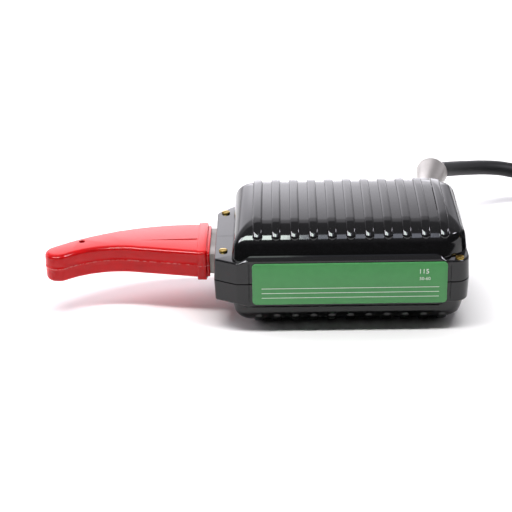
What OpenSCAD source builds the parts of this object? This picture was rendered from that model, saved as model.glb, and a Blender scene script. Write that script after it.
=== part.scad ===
// Mains tape head demagnetizer: two-part moulded case round a coil on a flat
// steel core, a soft claw-shaped cap on the probe, and a cord with its plug.
// Millimetres, +Z up, table at z = 0, probe towards -X, label towards -Y.

/* [Case] */
// height of the joint between the two shells over the table
parting_z = 27.6; // [22:0.1:34]
// from the middle rib to the flat nose
nose_reach = 69.1; // [60:0.1:80]
// from the middle rib to the rear end of the rim
rear_reach = 59.8; // [54:0.1:70]
// rim width, front panel to rear panel
case_w = 78.4; // [70:0.1:90]
// nose corner on the label side, from the mid-plane
nose_front_y = 33.1; // [28:0.1:38]
// nose corner on the cord side, from the mid-plane
nose_back_y = 24.7; // [22:0.1:34]
// length of the nose chamfer on the label side
nose_front_cut = 11.8; // [6:0.1:16]
// radius of the rim's rear corners
rim_corner = 8; // [5:0.5:12]
// half height of the rim
rim_h = 11.5; // [9:0.1:14]
// wall of the shells
wall = 2.6; // [2:0.1:4]

/* [Dome] */
// length of the dome
dome_l = 120.4; // [100:0.1:130]
// dome middle, from the middle rib
dome_x = -0.8; // [-3:0.1:3]
// width of the dome
dome_w = 72; // [60:0.5:80]
// height of the upper dome over the joint, between ribs
dome_h = 28.2; // [22:0.1:32]
// how much shallower the lower dome is
dome_less = 1.6; // [0:0.1:3]
// radius of the brow, side and end
brow = 12; // [8:0.5:12.5]
// from the foot of a side wall to the flat top
side_in = 13.6; // [12.6:0.1:18]
// from the foot of an end wall to the flat top
end_in = 14.6; // [12.6:0.1:18]
// radius of the dome's corners beside the rear screws
dome_corner = 16; // [10:0.5:20]
// radius of the dome's corners at the nose
dome_nose_r = 6; // [4:0.5:20]
// number of ribs
rib_count = 11; // [5:2:15]
// spacing of the ribs
rib_pitch = 9.34; // [8:0.01:12]
// width of a rib
rib_w = 4.7; // [3:0.1:6]
// height of a rib
rib_h = 1; // [0.4:0.1:2]
// height over the joint where the ribs end
rib_foot = 20.5; // [16:0.1:24]

/* [Panel and label] */
// left end of the raised panel
panel_left = -54.5; // [-58:0.1:-48]
// right end of the raised panel
panel_right = 46; // [40:0.1:52]
// half height of the raised panel
panel_h = 14; // [12:0.1:17]
// bevel on the panel's long edges
panel_bevel = 1.5; // [0.5:0.1:2.5]
// label length
label_l = 97.7; // [80:0.1:110]
// label height
label_h = 22.4; // [16:0.1:26]
// label thickness
label_t = 0.5; // [0.3:0.1:1]
// label corner radius
label_r = 2; // [1:0.1:4]
// middle of the label along the case
label_x = -0.8; // [-6:0.1:6]
// grooves beside the label, distance from its ends
groove_off = 1.6; // [0.8:0.1:3]
// groove width
groove_w = 0.7; // [0.4:0.1:1.2]
// groove depth
groove_d = 0.5; // [0.3:0.1:1]

/* [Screws] */
// nose screws, from the flat nose
nose_screw_in = 4.8; // [3.5:0.1:8]
// nose screws, from the mid-plane
nose_screw_y = 23.7; // [18:0.1:28]
// rear screws, from the rear end of the rim
rear_screw_in = 5.5; // [4:0.1:7]
// rear screws, from the mid-plane
rear_screw_y = 35.2; // [30:0.1:38]
// screw diameter
screw_d = 3; // [2:0.1:4]
// head diameter
head_d = 4.4; // [3.5:0.1:6]
// head height
head_h = 1; // [0.8:0.1:2]
// slot width
slot_w = 0.8; // [0.5:0.1:1.2]
// slot depth
slot_d = 0.5; // [0.3:0.1:1]
// nut size across flats
nut_af = 5; // [4.4:0.1:6]
// nut thickness
nut_t = 2.4; // [1.6:0.1:3]
// how far the nuts sit inside the lower rim
nut_sink = 0.3; // [0.1:0.1:1]
// screw hole, extra diameter
screw_clear = 0.3; // [0.1:0.05:0.6]
// thread and pocket clearance
thread_clear = 0.05; // [0.02:0.01:0.2]

/* [Core and coil] */
// width of the steel stack
core_w = 32; // [24:0.1:36]
// middle of the stack from the mid-plane
core_y = 1.5; // [-3:0.1:3]
// number of laminations
lam_count = 10; // [6:1:16]
// pitch of the laminations
lam_pitch = 1.1; // [0.8:0.05:1.5]
// varnish gap between laminations
lam_gap = 0.04; // [0.02:0.01:0.1]
// gap between the stack and its windows
core_clear = 0.2; // [0.1:0.05:0.4]
// where the straight bar turns into the tongue
bar_end = -72; // [-76:0.1:-70]
// end of the tongue
tongue_tip = -134; // [-142:0.5:-120]
// chamfer on the tongue's end
tongue_cut = 2.5; // [1:0.1:4]
// rivet positions along the case
rivet_front = -53; // [-54:0.5:-52]
// second rivet
rivet_mid = 31; // [30:0.5:33]
// third rivet
rivet_rear = 50; // [44:0.5:51]
// rivet diameter
rivet_d = 3.4; // [2.5:0.1:4]
// rivet head diameter
rivet_head_d = 5.3; // [4.5:0.1:5.4]
// rivet head height
rivet_head_h = 0.8; // [0.5:0.1:1.2]
// front end of the former
former_front = -50; // [-51:0.5:-44]
// rear end of the former
former_rear = 26; // [15:0.5:27]
// former wall
former_wall = 1.6; // [1:0.1:2.5]
// former flange thickness
flange_t = 2; // [1.5:0.1:3]
// former flange width
flange_w = 58; // [50:0.5:60]
// former flange height
flange_h = 37; // [30:0.5:38]
// thickness of the winding
winding_t = 8.9; // [5:0.1:9.5]
// thickness of the wrap over the winding
wrap_t = 0.8; // [0.4:0.1:1.2]
// gap between winding layers, former and wrap
wind_clear = 0.1; // [0.05:0.05:0.3]
// damping pad length
pad_l = 46; // [20:1:64]
// damping pad width
pad_w = 34; // [20:1:38]
// gap left above and below the pads
pad_clear = 0.15; // [0.05:0.05:0.4]

/* [Probe cap] */
// half height of the cap
cap_h = 7.6; // [6.4:0.1:9]
// wall of the cap along its back
cap_wall = 1.75; // [1:0.05:2.5]
// gap between cap and tongue
cap_clear = 0.3; // [0.2:0.05:0.5]
// back edge of the cap beside the mouth
cap_back_y = 19.7; // [17:0.05:22]
// where the back starts to curve
cap_arc_x = -82; // [-90:0.1:-76]
// radius of the curved back
cap_back_r = 111.9; // [90:0.05:130]
// waist of the hollow front edge
cap_waist_x = -119.9; // [-126:0.1:-112]
// waist of the hollow front edge, from the mid-plane
cap_waist_y = -8.4; // [-10:0.05:-6]
// radius of the hollow front edge
cap_front_r = 41.4; // [36:0.05:50]
// lean of the straight front edge
cap_lean = 11.3; // [8:0.1:15]
// direction of the tip, seen from the back's centre
cap_tip_angle = 130.4; // [126:0.1:134]
// open end of the cap
cap_mouth = -71.8; // [-73:0.1:-70.5]
// lip length
lip_l = 1.7; // [1:0.1:3]
// collar length
collar_l = 4.7; // [2:0.1:6]
// how far the collar stands out of the cap
collar_out = 0.7; // [0.5:0.1:2]
// how far the lip stands inside the cap's outline
lip_in = 0.6; // [0:0.1:0.8]
// vent hole diameter
vent_d = 3.2; // [2:0.1:4]
// vent hole depth
vent_depth = 4; // [2:0.5:6]
// vent hole, along the case
vent_x = -139; // [-142:0.5:-137]
// vent hole, from the mid-plane
vent_y = -1.5; // [-4:0.1:1]
// pointed end of the groove on top
mark_tip = -110; // [-114:0.5:-95]
// wide end of the groove on top
mark_end = -78.7; // [-84:0.1:-78.2]
// middle of the groove
mark_y = -0.6; // [-2:0.1:3]
// width of the groove at its wide end
mark_w = 1.8; // [1:0.1:3]
// depth of the groove
mark_d = 0.4; // [0.2:0.1:0.8]

/* [Cord guard] */
// foot of the guard on the boss, along the case
guard_x = 43.4; // [38:0.1:45]
// foot of the guard on the boss, from the mid-plane
guard_y = 42.5; // [42:0.1:46]
// foot of the guard on the boss, over the joint
guard_up = 13; // [11:0.1:15]
// lean of the guard towards the rear end
guard_turn = 14; // [0:1:20]
// rise of the guard
guard_rise = 3; // [0:0.5:8]
// length of the guard outside the boss
guard_l = 28; // [22:0.5:34]
// boss radius
boss_r = 10; // [8.5:0.1:11]
// depth of the boss under the guard's foot
boss_l = 13; // [10:0.5:15]
// outer radius of the guard's shank
shank_r = 6; // [5.4:0.1:6.6]
// bore radius of the guard
guard_bore = 5; // [4.6:0.1:5.4]
// flange radius of the guard
guard_flange_r = 8; // [7:0.1:9]
// flange thickness of the guard
guard_flange_t = 3.5; // [2:0.1:5]
// rim radius of the bell mouth
bell_r = 8.75; // [7.5:0.05:10]
// wall of the bell mouth at its rim
bell_wall = 0.9; // [0.6:0.1:1.5]
// washer thickness
washer_t = 1; // [0.6:0.1:1.5]
// lock nut size across flats
lock_af = 16; // [14:0.5:17]
// lock nut thickness
lock_t = 4; // [3:0.5:5]
// how far the shank passes the lock nut
shank_over = 1; // [0.5:0.5:3]

/* [Cord and plug] */
// cord diameter
cord_d = 8.6; // [6:0.1:9]
// gap in fits round the cord
cord_clear = 0.05; // [0.02:0.01:0.2]
// length of the cord's jacket inside the guard's foot
stub_in = 26; // [24:0.5:28]
// crimped ring, length
crimp_l = 4; // [3:0.5:5]
// crimped ring, wall
crimp_wall = 2.4; // [1.5:0.1:3]
// conductor diameter over its insulation
wire_d = 2.2; // [1.6:0.1:2.8]
// splice diameter
splice_d = 5; // [4:0.1:5.6]
// splice length
splice_l = 12; // [8:0.5:14]
// middle of the coiled cord, along the case
coil_x = 168; // [160:1:200]
// where the cord meets the coil, from the mid-plane
coil_row_y = 121.5; // [110:0.5:130]
// inner radius of the coiled cord
coil_in_r = 32.3; // [31:0.1:40]
// spacing of the loops
coil_pitch = 9.05; // [8:0.05:10]
// loops in one layer
coil_turns = 2.875; // [1.875:1:3.875]
// lift of the coil over the table, for the strap
coil_lift = 1; // [0.8:0.1:2]
// strap thickness
strap_t = 0.7; // [0.5:0.1:0.7]
// strap width
strap_w = 9; // [6:0.5:14]
// strap gap round the bundle
strap_clear = 0.3; // [0.2:0.05:0.6]
// length of the plug's tapered sleeve
sleeve_l = 26; // [20:1:40]
// length of the plug's body
plug_l = 32; // [26:1:40]
// length of a blade
blade_l = 17; // [15:0.5:19]
// width of a blade
blade_w = 6.35; // [6:0.05:6.6]
// thickness of a blade
blade_t = 1.5; // [1.4:0.05:1.6]
// spacing of the blades
blade_gap = 12.7; // [12.5:0.1:13]
// hole in a blade
blade_hole = 3.1; // [2.6:0.1:3.4]

/* [Hidden] */
$fn = 64;

black = [0.07, 0.07, 0.075];
steel = [0.62, 0.6, 0.58];
brass = [0.72, 0.58, 0.3];
red = [0.78, 0.2, 0.22];

half_w = case_w / 2;
dome_low = dome_h - dome_less;
core_h = lam_count * lam_pitch;
core_back = core_y + core_w / 2;
core_front = core_y - core_w / 2;
tube_w = core_w + 2 * core_clear + 2 * former_wall;
tube_h = core_h + 2 * core_clear + 2 * former_wall;
wind_w = tube_w + 2 * wind_clear + 2 * winding_t;
wind_h = tube_h + 2 * wind_clear + 2 * winding_t;
wrap_w = wind_w + 2 * wind_clear + 2 * wrap_t;
wrap_h = wind_h + 2 * wind_clear + 2 * wrap_t;
nose_screw_x = nose_screw_in - nose_reach;
rear_screw_x = rear_reach - rear_screw_in;
screw_spots = [[nose_screw_x, nose_screw_y], [nose_screw_x, -nose_screw_y],
    [rear_screw_x, rear_screw_y], [rear_screw_x, -rear_screw_y]];
rivet_spots = [rivet_front, rivet_mid, rivet_rear];
groove_spots = [label_x - label_l / 2 - groove_off, label_x + label_l / 2 + groove_off];

// cap outline: centres of its two arcs and of the round tip between them
back_c = [cap_arc_x, cap_back_y - cap_back_r];
front_c = [cap_waist_x, cap_waist_y - cap_front_r];
tip_u = [cos(cap_tip_angle), sin(cap_tip_angle)];
arc_sum = cap_back_r + cap_front_r;
arc_gap = norm(front_c - back_c);
tip_far = (arc_sum * arc_sum - arc_gap * arc_gap) / (2 * (arc_sum - tip_u * (front_c - back_c)));
tip_c = back_c + tip_u * tip_far;
tip_r = cap_back_r - tip_far;
tip_back = back_c + tip_u * cap_back_r;
tip_front = front_c + (tip_c - front_c) * cap_front_r / norm(tip_c - front_c);
lean_start = front_c + cap_front_r * [sin(cap_lean), cos(cap_lean)];
mouth_front_y = lean_start[1] - (cap_mouth - lean_start[0]) * tan(cap_lean);
tongue_y = cap_waist_y + cap_wall + cap_clear;
tongue_bend = bar_end - (tongue_y - core_front) / tan(cap_lean);

// guard axis
guard_p = [guard_x, guard_y, parting_z + guard_up];
guard_u = [sin(guard_turn) * cos(guard_rise), cos(guard_turn) * cos(guard_rise), sin(guard_rise)];
shank_in = boss_l + lock_t + shank_over;
cord_r = cord_d / 2;
grommet_out = 10;
cord_out = 15;

// coiled cord: in along the lower layer, a half turn up, out along the upper layer
coil_out_r = coil_in_r + coil_pitch * coil_turns;
coil_y = coil_row_y - coil_out_r;
low_z = coil_lift + cord_r;
high_z = low_z + coil_pitch;
turns_all = 2 * coil_turns + 0.5;
coil_steps = round(turns_all * 24);
exit_x = coil_x + coil_out_r;
exit_y = coil_y - cord_d;
plug_r = high_z - 0.05;
function coil_r(t) = coil_out_r - coil_pitch * min(t, turns_all - t);
function coil_z(t) = low_z + coil_pitch * min(1, max(0, (t - coil_turns) * 2));
function coil_at(t) = [coil_x + coil_r(t) * sin(360 * t), coil_y + coil_r(t) * cos(360 * t), coil_z(t)];
coil_path = concat([[coil_x - cord_d, coil_row_y, low_z]],
    [for (i = [0 : coil_steps]) coil_at(i * turns_all / coil_steps)],
    [[exit_x, exit_y, high_z]]);
self_gap = min([for (i = [0 : coil_steps - 14]) for (j = [i + 14 : coil_steps])
    norm(coil_path[i + 1] - coil_path[j + 1])]) - cord_d;
echo(coil_self_gap = self_gap);
function run(p, i = 0) = i >= len(p) - 1 ? 0 : norm(p[i + 1] - p[i]) + run(p, i + 1);

// free stretch of the cord, from the guard to the coil
cord_path = concat([guard_p + guard_u * cord_out, guard_p + guard_u * (cord_out + cord_d)],
    [[51, 71.5, 41.6], [55, 79.5, 39.4], [61, 88.5, 36], [68, 97.5, 32.6], [76, 106, 29.3],
    [85, 113.5, 26.3], [95, 118.5, 23.6], [105, 120.7, 20.8], [115, 121.3, 17.3], [125, 121.5, 13.3],
    [135, 121.5, 9.4], [144, 121.5, 6.4]],
    [[coil_x - 2 * cord_d, coil_row_y, low_z], [coil_x - cord_d, coil_row_y, low_z]]);
echo(cord_length = run(cord_path) + run(coil_path) + cord_out + stub_in);

// conductors: out of the jacket, through the splices, to the winding
stub_end = guard_p - guard_u * stub_in;
splice_z = parting_z + 11;
splice_back = 10;
splice_front = splice_back - splice_l;
wire_spots = [35, 41];
lead_y = [-11.5, -17.5];
lead_z = parting_z + 12;
lead_end = former_rear - flange_t;
wire_side = cross(guard_u, [0, 0, 1]) * (cord_r - wire_d) / cos(guard_rise);
wire_starts = [stub_end - wire_side, stub_end + wire_side];
wire_paths = [for (k = [0, 1]) [wire_starts[k], wire_starts[k] - guard_u * wire_d,
    [wire_spots[k], splice_back + 2, splice_z], [wire_spots[k], splice_back, splice_z]]];
lead_paths = [for (k = [0, 1]) [[wire_spots[k], splice_front, splice_z],
    [wire_spots[k], splice_front - 2.2, splice_z], [wire_spots[k] - 1, lead_y[k] + 3, splice_z + 0.3],
    [wire_spots[k] - 4, lead_y[k], splice_z + 0.8], [former_rear + 2, lead_y[k], lead_z],
    [lead_end, lead_y[k], lead_z]]];

function unit(v) = v / norm(v);
function along(p, i) = unit(p[min(i + 1, len(p) - 1)] - p[max(i - 1, 0)]);
function ring(c, t, r, n) = let(s = unit(cross(t, [0, 0, 1])), u = cross(s, t))
    [for (k = [0 : n - 1]) c + r * (cos(360 * k / n) * s + sin(360 * k / n) * u)];

module tube(p, d, n) {
    m = len(p);
    polyhedron(points = [for (i = [0 : m - 1]) each ring(p[i], along(p, i), d / 2, n)],
        faces = concat(
            [for (i = [0 : m - 2]) for (k = [0 : n - 1]) [i * n + k, i * n + (k + 1) % n, (i + 1) * n + k]],
            [for (i = [0 : m - 2]) for (k = [0 : n - 1])
                [i * n + (k + 1) % n, (i + 1) * n + (k + 1) % n, (i + 1) * n + k]],
            [for (k = [1 : n - 2]) [0, k + 1, k]],
            [for (k = [1 : n - 2]) [(m - 1) * n, (m - 1) * n + k, (m - 1) * n + k + 1]]));
}

module round_rect(l, w, r) {
    square([l - 2 * r, w], center = true);
    square([l, w - 2 * r], center = true);
    for (x = [-1, 1])
        for (y = [-1, 1])
            translate([x * (l / 2 - r), y * (w / 2 - r)])
                circle(r);
}

// section of a dome: upright to the rim's height, then leaning in to the brow
module arch(w, h, r, in) {
    up = h - r - rim_h;
    reach = norm([in, up]);
    slope = atan2(up, in) + asin(r / reach);
    run = sqrt(reach * reach - r * r);
    x = w / 2 - run * cos(slope);
    z = rim_h + run * sin(slope);
    top = w / 2 - in;
    polygon([[-w / 2, 0], [w / 2, 0], [w / 2, rim_h], [x, z], [top, h], [-top, h], [-x, z], [-w / 2, rim_h]]);
    for (s = [-1, 1])
        translate([s * top, h - r])
            circle(r);
}

module dome_plan(g) {
    x = dome_l / 2 + g;
    y = dome_w / 2 + g;
    a = dome_corner + g;
    b = dome_nose_r + g;
    translate([dome_x, 0]) {
        polygon([[x - a, -y], [x, a - y], [x, y - a], [x - a, y], [b - x, y], [-x, y - b], [-x, b - y], [b - x, -y]]);
        for (s = [-1, 1]) {
            translate([x - a, s * (y - a)])
                circle(a);
            translate([b - x, s * (y - b)])
                circle(b);
        }
    }
}

// dome of height h, grown by g on every side but the joint
module dome(h, g) {
    l = dome_l + 2 * g;
    w = dome_w + 2 * g;
    intersection() {
        linear_extrude(h + g)
            dome_plan(g);
        translate([dome_x - l / 2, 0, 0])
            rotate([90, 0, 90])
                linear_extrude(l)
                    arch(w, h + g, brow + g, side_in + g);
        translate([dome_x, w / 2, 0])
            rotate([90, 0, 0])
                linear_extrude(w)
                    arch(l, h + g, brow + g, end_in + g);
    }
}

module rim_plan() {
    polygon([[-nose_reach, -nose_front_y], [-nose_reach + nose_front_cut, -half_w],
        [rear_reach - rim_corner, -half_w], [rear_reach, -half_w + rim_corner],
        [rear_reach, half_w - rim_corner], [rear_reach - rim_corner, half_w],
        [-nose_reach + half_w - nose_back_y, half_w], [-nose_reach, nose_back_y]]);
    for (y = [-1, 1])
        translate([rear_reach - rim_corner, y * (half_w - rim_corner)])
            circle(rim_corner);
}

module ribs(h) {
    intersection() {
        dome(h, rib_h);
        for (i = [0 : rib_count - 1])
            translate([(i - (rib_count - 1) / 2) * rib_pitch - rib_w / 2, -dome_w, rib_foot])
                cube([rib_w, 2 * dome_w, dome_h]);
    }
}

module panels() {
    inner = dome_w / 2 - wall / 2;
    for (y = [0, 1])
        mirror([0, y, 0])
            translate([panel_left, 0, 0])
                rotate([90, 0, 90])
                    linear_extrude(panel_right - panel_left)
                        polygon([[-inner, 0], [-half_w, 0], [-half_w, panel_h - panel_bevel],
                            [-half_w + panel_bevel, panel_h], [-inner, panel_h]]);
}

module guard_frame() {
    translate(guard_p)
        rotate([0, 0, -guard_turn])
            rotate([guard_rise - 90, 0, 0])
                children();
}

// one half of the case, joint at z = 0
module half_shell(up) {
    high = up ? dome_h : dome_low;
    difference() {
        union() {
            dome(high, 0);
            ribs(high);
            linear_extrude(rim_h)
                rim_plan();
            panels();
            if (up)
                translate([0, 0, -parting_z])
                    guard_frame()
                        translate([0, 0, -boss_l])
                            cylinder(h = boss_l, r = boss_r);
        }
        difference() {
            union() {
                dome(high, -wall);
                translate([0, 0, -1])
                    linear_extrude(2)
                        dome_plan(-wall);
            }
            if (up)
                translate([0, 0, -parting_z])
                    guard_frame()
                        translate([0, 0, -boss_l])
                            cylinder(h = 2 * boss_l, r = boss_r);
        }
        translate([-nose_reach - 1, core_front - core_clear, -1])
            cube([nose_reach + rear_reach + 2, core_w + 2 * core_clear, core_h / 2 + core_clear + 1]);
        for (s = screw_spots)
            translate([s[0], s[1], -1])
                cylinder(h = rim_h + 2, d = screw_d + screw_clear);
        for (x = groove_spots)
            for (y = [-1, 1])
                translate([x - groove_w / 2, y * half_w - groove_d, -1])
                    cube([groove_w, 2 * groove_d, rim_h + 1 - panel_bevel]);
        if (up)
            translate([0, 0, -parting_z])
                guard_frame()
                    translate([0, 0, -boss_l - 1])
                        cylinder(h = boss_l + 2, r = shank_r + thread_clear);
        if (!up)
            for (s = screw_spots)
                translate([s[0], s[1], rim_h - nut_t - nut_sink])
                    rotate(30)
                        cylinder(h = nut_t + 1, d = (nut_af + 2 * thread_clear) / cos(30), $fn = 6);
    }
}

module upper_shell() {
    color(black)
        translate([0, 0, parting_z])
            half_shell(true);
}

module lower_shell() {
    color(black)
        translate([0, 0, parting_z])
            mirror([0, 0, 1])
                half_shell(false);
}

module label_plate() {
    color([0.31, 0.52, 0.33])
        translate([label_x, -half_w, parting_z])
            rotate([90, 0, 0])
                linear_extrude(label_t)
                    round_rect(label_l, label_h, label_r);
}

module case_screws() {
    color(brass)
        for (s = screw_spots)
            translate([s[0], s[1], parting_z + rim_h])
                difference() {
                    union() {
                        cylinder(h = head_h, d = head_d);
                        translate([0, 0, -2 * rim_h + nut_sink])
                            cylinder(h = 2 * rim_h, d = screw_d);
                    }
                    translate([-head_d, -slot_w / 2, head_h - slot_d])
                        cube([2 * head_d, slot_w, slot_d + 1]);
                }
}

module case_nuts() {
    color(brass)
        for (s = screw_spots)
            translate([s[0], s[1], parting_z - rim_h + nut_sink])
                difference() {
                    rotate(30)
                        cylinder(h = nut_t, d = nut_af / cos(30), $fn = 6);
                    translate([0, 0, -1])
                        cylinder(h = nut_t + 2, d = screw_d + 2 * thread_clear);
                }
}

// tongue of the core, grown by g; also the hollow of the cap
module tongue(g) {
    intersection() {
        union() {
            translate(back_c)
                circle(cap_back_r - cap_wall - cap_clear + g, $fn = 180);
            translate([cap_arc_x, 0])
                square([bar_end - cap_arc_x + 2, cap_back_y - cap_wall - cap_clear + g]);
        }
        polygon([[bar_end + 1, core_back + 5], [bar_end + 1, core_front - tan(cap_lean) - g],
            [bar_end, core_front - g], [tongue_bend, tongue_y - g], [tongue_tip + tongue_cut, tongue_y - g],
            [tongue_tip - g, tongue_y + tongue_cut], [tongue_tip - g, cap_waist_y + cap_front_r]]);
    }
}

module lamination() {
    translate([bar_end, core_front])
        square([rear_reach - bar_end, core_w]);
    intersection() {
        tongue(0);
        translate([tongue_tip - 1, core_front])
            square([bar_end - tongue_tip + 1, core_w]);
    }
}

module core_laminations() {
    color(steel)
        for (i = [0 : lam_count - 1])
            translate([0, 0, parting_z - core_h / 2 + i * lam_pitch + lam_gap / 2])
                linear_extrude(lam_pitch - lam_gap)
                    difference() {
                        lamination();
                        for (x = rivet_spots)
                            translate([x, core_y])
                                circle(d = rivet_d + 2 * thread_clear);
                    }
}

module core_rivets() {
    color(steel)
        for (x = rivet_spots)
            translate([x, core_y, parting_z - core_h / 2]) {
                cylinder(h = core_h, d = rivet_d);
                translate([0, 0, -rivet_head_h])
                    cylinder(h = rivet_head_h, d = rivet_head_d);
                translate([0, 0, core_h])
                    cylinder(h = rivet_head_h, d = rivet_head_d);
            }
}

// box of a wound piece along the core
module core_box(x0, x1, w, h) {
    translate([x0, core_y - w / 2, parting_z - h / 2])
        cube([x1 - x0, w, h]);
}

module coil_bobbin() {
    color([0.75, 0.66, 0.5])
        difference() {
            union() {
                core_box(former_front, former_rear, tube_w, tube_h);
                core_box(former_front, former_front + flange_t, flange_w, flange_h);
                core_box(former_rear - flange_t, former_rear, flange_w, flange_h);
            }
            core_box(former_front - 1, former_rear + 1, core_w + 2 * core_clear, core_h + 2 * core_clear);
            for (y = lead_y)
                translate([former_rear - 2 * flange_t, y, lead_z])
                    rotate([0, 90, 0])
                        cylinder(h = 3 * flange_t, d = wire_d + 2 * thread_clear);
        }
}

module coil_winding() {
    color([0.7, 0.38, 0.2])
        difference() {
            core_box(former_front + flange_t, former_rear - flange_t, wind_w, wind_h);
            core_box(former_front, former_rear, tube_w + 2 * wind_clear, tube_h + 2 * wind_clear);
        }
}

module winding_wrap() {
    color([0.85, 0.78, 0.5])
        difference() {
            core_box(former_front + flange_t, former_rear - flange_t, wrap_w, wrap_h);
            core_box(former_front, former_rear, wind_w + 2 * wind_clear, wind_h + 2 * wind_clear);
        }
}

module coil_pads() {
    mid = (former_front + former_rear) / 2;
    gap = wrap_h / 2 + pad_clear;
    up_t = dome_h - wall - gap - pad_clear;
    low_t = dome_low - wall - gap - pad_clear;
    color([0.3, 0.29, 0.28])
        translate([mid - pad_l / 2, core_y - pad_w / 2, parting_z]) {
            translate([0, 0, gap])
                cube([pad_l, pad_w, up_t]);
            translate([0, 0, -gap - low_t])
                cube([pad_l, pad_w, low_t]);
        }
}

module cap_plan() {
    translate(tip_c)
        circle(tip_r);
    difference() {
        intersection() {
            union() {
                translate(back_c)
                    circle(cap_back_r, $fn = 180);
                translate([cap_arc_x, 0])
                    square([cap_mouth - cap_arc_x, cap_back_y]);
            }
            polygon([[cap_mouth, cap_back_y + 25], [cap_mouth, mouth_front_y], lean_start, tip_front,
                tip_c, tip_back, tip_back + 20 * tip_u]);
        }
        translate(front_c)
            circle(cap_front_r, $fn = 120);
    }
}

module probe_cap() {
    collar_y = mouth_front_y - collar_out;
    color(red)
        translate([0, 0, parting_z])
            difference() {
                union() {
                    translate([0, 0, -cap_h])
                        linear_extrude(2 * cap_h)
                            intersection() {
                                cap_plan();
                                translate([cap_mouth - lip_l - 200, -100])
                                    square([200, 200]);
                            }
                    translate([cap_mouth - lip_l - collar_l, collar_y, -cap_h - collar_out])
                        cube([collar_l, cap_back_y + collar_out - collar_y, 2 * (cap_h + collar_out)]);
                    translate([cap_mouth - lip_l - 1, mouth_front_y + lip_in, -cap_h + lip_in])
                        cube([lip_l + 1, cap_back_y - mouth_front_y - 2 * lip_in, 2 * (cap_h - lip_in)]);
                }
                translate([0, 0, -core_h / 2 - cap_clear])
                    linear_extrude(core_h + 2 * cap_clear)
                        tongue(cap_clear);
                translate([vent_x, vent_y, cap_h - vent_depth])
                    cylinder(h = vent_depth + 1, d = vent_d);
                translate([0, 0, cap_h - mark_d])
                    linear_extrude(mark_d + 1)
                        polygon([[mark_tip, mark_y], [mark_end, mark_y - mark_w / 2],
                            [mark_end, mark_y + mark_w / 2]]);
            }
}

// bell curve of the guard: radius at the share f of its length
function bell(f, r0, r1) = r0 + (r1 - r0) * f * f * (1.6 - 0.6 * f);

module cord_guard() {
    foot = washer_t + guard_flange_t;
    n = 10;
    color([0.78, 0.76, 0.74])
        guard_frame()
            rotate_extrude()
                polygon(concat(
                    [[guard_bore, -shank_in], [shank_r, -shank_in], [shank_r, washer_t],
                        [guard_flange_r, washer_t], [guard_flange_r, foot]],
                    [for (i = [0 : n]) [bell(i / n, shank_r, bell_r), foot + (guard_l - foot) * i / n]],
                    [for (i = [0 : n]) [bell(1 - i / n, guard_bore, bell_r - bell_wall),
                        guard_l - (guard_l - grommet_out) * i / n]]));
}

module guard_washer() {
    color([0.2, 0.2, 0.2])
        guard_frame()
            difference() {
                cylinder(h = washer_t, r = guard_flange_r);
                translate([0, 0, -1])
                    cylinder(h = washer_t + 2, r = shank_r + thread_clear);
            }
}

module guard_nut() {
    color(steel)
        guard_frame()
            translate([0, 0, -boss_l - lock_t])
                difference() {
                    cylinder(h = lock_t, d = lock_af / cos(30), $fn = 6);
                    translate([0, 0, -1])
                        cylinder(h = lock_t + 2, r = shank_r + thread_clear);
                }
}

module cord_grommet() {
    color([0.12, 0.12, 0.12])
        guard_frame()
            translate([0, 0, -shank_in])
                difference() {
                    cylinder(h = shank_in + grommet_out, r = guard_bore - cord_clear);
                    translate([0, 0, -1])
                        cylinder(h = shank_in + grommet_out + 2, r = cord_r + cord_clear);
                }
}

module cord_stub() {
    color(black)
        guard_frame()
            translate([0, 0, -stub_in])
                cylinder(h = stub_in + cord_out, r = cord_r);
}

module cord_crimp() {
    color(steel)
        guard_frame()
            translate([0, 0, -shank_in - crimp_l])
                difference() {
                    cylinder(h = crimp_l, r = cord_r + crimp_wall);
                    translate([0, 0, -1])
                        cylinder(h = crimp_l + 2, r = cord_r + cord_clear);
                }
}

module cord_wires() {
    color([0.25, 0.2, 0.18])
        for (p = wire_paths)
            tube(p, wire_d, 8);
}

module wire_splices() {
    color([0.2, 0.35, 0.6])
        for (x = wire_spots)
            translate([x, splice_back, splice_z])
                rotate([90, 0, 0])
                    cylinder(h = splice_l, d = splice_d);
}

module coil_leads() {
    color([0.65, 0.15, 0.12])
        for (p = lead_paths)
            tube(p, wire_d, 8);
}

module power_cord() {
    color(black)
        tube(cord_path, cord_d, 10);
}

module cord_coil() {
    color(black)
        tube(coil_path, cord_d, 6);
}

// strap round the bundle, at the side of the coil that faces the label side
module coil_tie() {
    r0 = coil_in_r - coil_pitch / 4 - cord_r - strap_clear;
    r1 = coil_r(0.5) + cord_r + strap_clear;
    z0 = coil_lift - strap_clear;
    z1 = high_z + cord_r + strap_clear;
    color([0.16, 0.16, 0.17])
        translate([coil_x - strap_w / 2, coil_y - (r0 + r1) / 2, (z0 + z1) / 2])
            rotate([90, 0, 90])
                linear_extrude(strap_w)
                    difference() {
                        round_rect(r1 - r0 + 2 * strap_t, z1 - z0 + 2 * strap_t, cord_r + strap_t);
                        round_rect(r1 - r0, z1 - z0, cord_r);
                    }
}

module plug_body() {
    color(black)
        translate([exit_x, exit_y, high_z])
            rotate([90, 0, 0])
                rotate_extrude()
                    polygon([[0, 0], [cord_r + 0.7, 0], [cord_r + 2.6, sleeve_l], [9.5, sleeve_l + 2],
                        [11.2, sleeve_l + 12], [plug_r, sleeve_l + 22], [plug_r, sleeve_l + plug_l - 1],
                        [plug_r - 1, sleeve_l + plug_l], [0, sleeve_l + plug_l]]);
}

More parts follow.
